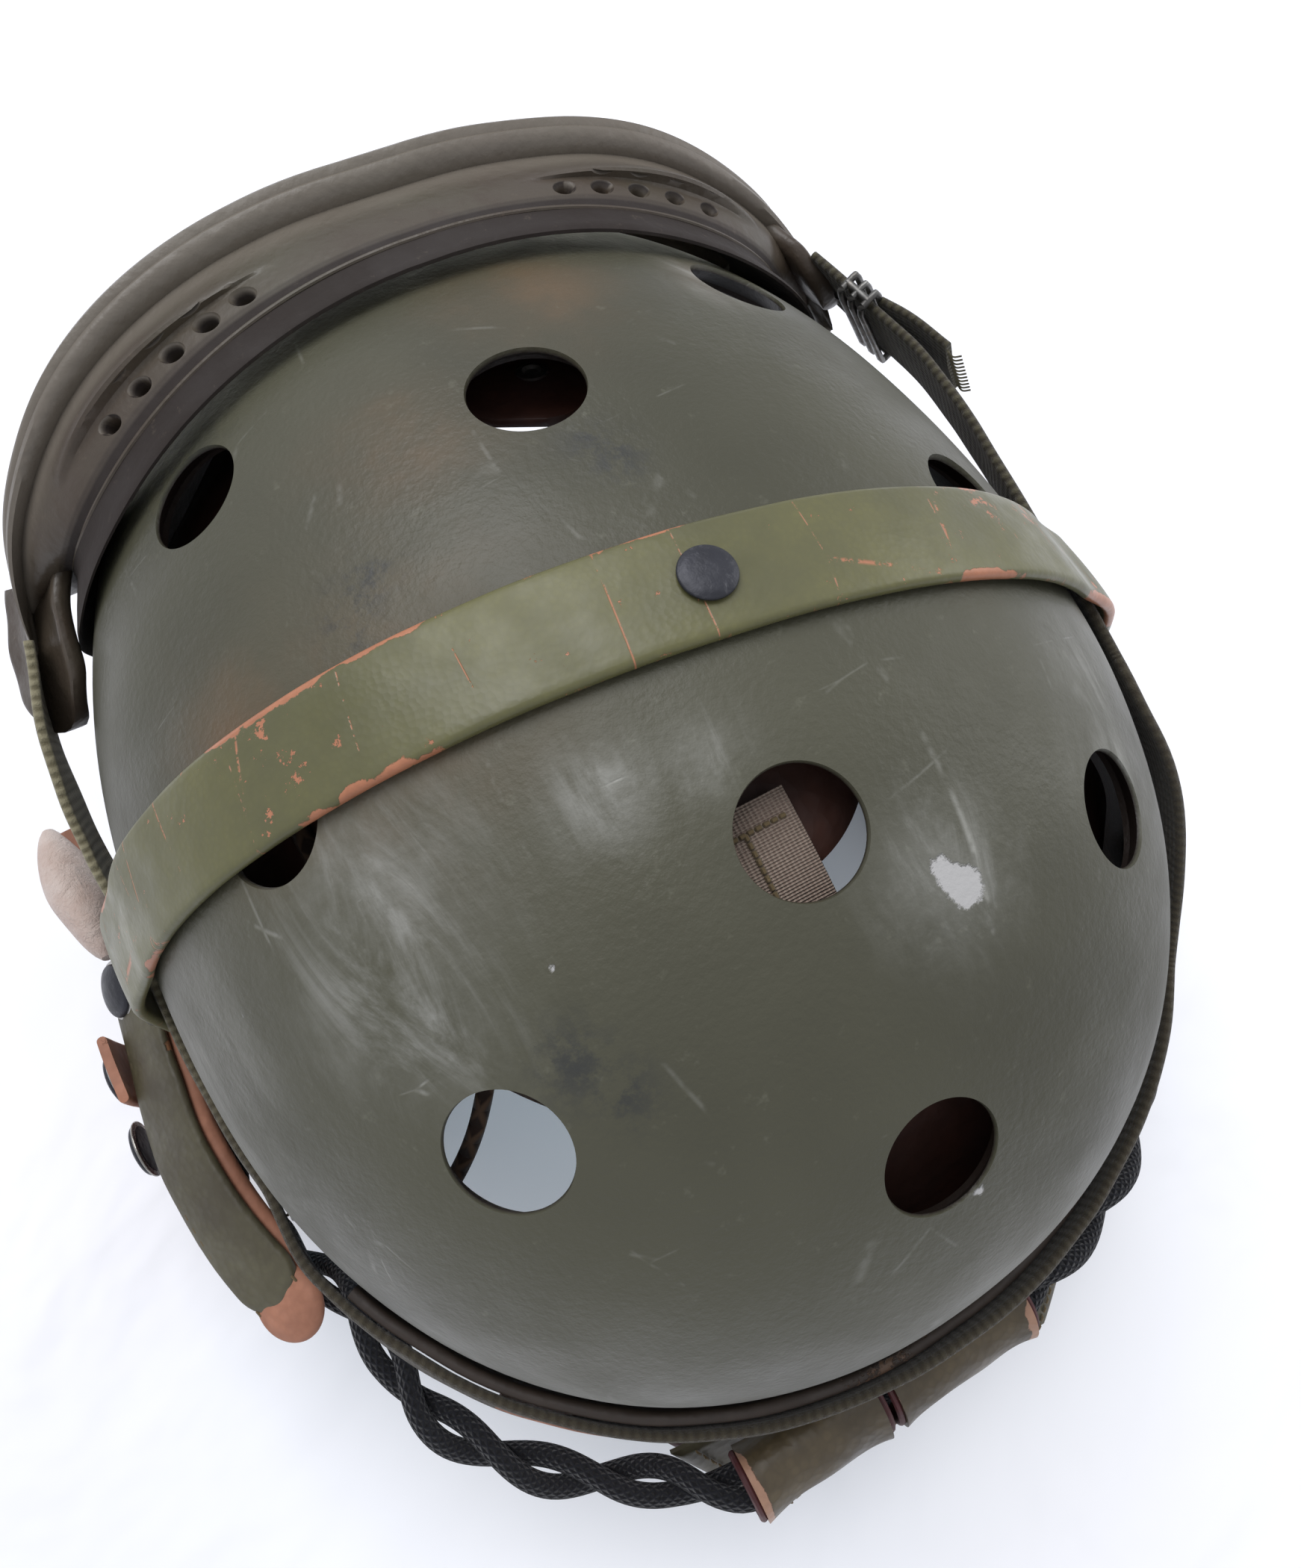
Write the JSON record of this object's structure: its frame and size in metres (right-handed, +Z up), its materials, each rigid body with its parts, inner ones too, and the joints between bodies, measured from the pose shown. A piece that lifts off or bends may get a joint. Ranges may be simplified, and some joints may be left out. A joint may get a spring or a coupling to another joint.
{
  "type": "tank crew helmet",
  "caption": "Hard ventilated crew helmet with leather crown strap, sprung ear flaps holding radio receivers, neck flap, liner, and rubber goggles held on the brow by an elastic strap.",
  "frame": {"origin": "on the surface that the helmet stands on, at the middle of the footprint of its box", "axes": "+Y forwards towards the goggles, +X to the wearer's right, +Z up through the crown"},
  "size_m": [0.2796, 0.317, 0.2172],
  "materials": {
    "shell_paint": "satin, scuffed",
    "olive_leather": "worn, satin",
    "tan_leather": "worn, matte",
    "brown_leather": "matte",
    "maroon_leather": "matte",
    "chamois": "suede",
    "felt": "felted",
    "khaki_webbing": "ribbed elastic",
    "cream_webbing": "open weave",
    "black_cloth": "braided",
    "brown_lace": "braided",
    "goggle_rubber": "soft gloss",
    "black_rubber": "matte",
    "bakelite": "gloss",
    "black_metal": "blackened, scuffed",
    "steel": "dull",
    "lens": "clear, slightly hazed"
  },
  "bodies": {
    "helmet": {"crown_shell": "shell_paint", "neck_band": "brown_leather", "left_hinge_strip": "brown_leather", "right_hinge_strip": "brown_leather", "sweatband_felt": "felt", "sweatband": "brown_leather", "liner_tongue_1": "brown_leather", "liner_tongue_2": "brown_leather", "liner_tongue_3": "brown_leather", "liner_tongue_4": "brown_leather", "liner_tongue_5": "brown_leather", "liner_tongue_6": "brown_leather", "crown_lace": "brown_lace", "crown_pad": "brown_leather", "rear_webbing": "cream_webbing", "crown_strap": "olive_leather", "left_strap_snap": "black_metal", "right_strap_snap": "black_metal", "crown_rivet": "black_metal", "goggle_strap_rear": "khaki_webbing", "lead_left_back": "black_cloth", "lead_right_back": "black_cloth", "left_lead_keeper": "tan_leather", "right_lead_keeper": "tan_leather"},
    "goggles": {"goggle_frame": "goggle_rubber", "goggle_lens": "lens", "goggle_strap_left": "khaki_webbing", "goggle_strap_right": "khaki_webbing"},
    "slide": {"strap_slide": "steel"},
    "left_ear_flap": {"left_flap_panel": "olive_leather", "left_flap_lining": "chamois", "left_receiver": "bakelite", "left_ear_cushion": "black_rubber", "left_receiver_tab": "tan_leather", "left_flap_plate": "maroon_leather", "left_spring_cover": "olive_leather", "left_spring_lining": "tan_leather", "left_cheek_pad": "chamois", "left_front_snap": "black_metal", "left_tab_snap": "black_metal", "left_rear_snap": "black_metal", "lead_left_ear": "black_cloth"},
    "right_ear_flap": {"right_flap_panel": "olive_leather", "right_flap_lining": "chamois", "right_receiver": "bakelite", "right_ear_cushion": "black_rubber", "right_receiver_tab": "tan_leather", "right_flap_plate": "maroon_leather", "right_spring_cover": "olive_leather", "right_spring_lining": "tan_leather", "right_cheek_pad": "chamois", "right_front_snap": "black_metal", "right_tab_snap": "black_metal", "right_rear_snap": "black_metal", "lead_right_ear": "black_cloth"},
    "neck_flap_body": {"neck_flap": "olive_leather", "neck_flap_lining": "maroon_leather", "left_cord_sleeve": "olive_leather", "right_cord_sleeve": "olive_leather", "lead_in_sleeves": "black_cloth"}
  },
  "joints": [
    {"name": "left_flap_hinge", "type": "hinge", "parent": "helmet", "child": "left_ear_flap", "pos_m": [-0.109, 0.0045, 0.09], "axis": [0, 1, 0], "range_deg": [0, 34], "stiffness_Nm_per_rad": 0.6, "springref_deg": -8.59},
    {"name": "right_flap_hinge", "type": "hinge", "parent": "helmet", "child": "right_ear_flap", "pos_m": [0.109, 0.0045, 0.09], "axis": [0, -1, 0], "range_deg": [0, 34], "stiffness_Nm_per_rad": 0.6, "springref_deg": -8.59},
    {"name": "neck_flap_hinge", "type": "hinge", "parent": "helmet", "child": "neck_flap_body", "pos_m": [0, -0.1305, 0.09], "axis": [-1, 0, 0], "range_deg": [0, 28]},
    {"name": "goggles_swing", "type": "hinge", "parent": "helmet", "child": "goggles", "pos_m": [0, 0.0545, 0.097], "axis": [1, 0, 0], "range_deg": [-45, 0], "deforming": ["goggle_strap_left", "goggle_strap_right"]},
    {"name": "strap_slide_travel", "type": "slide", "parent": "goggles", "child": "slide", "axis": [0.1454, -0.9885, 0.0407], "range_m": [-0.006, 0.006]}
  ]
}
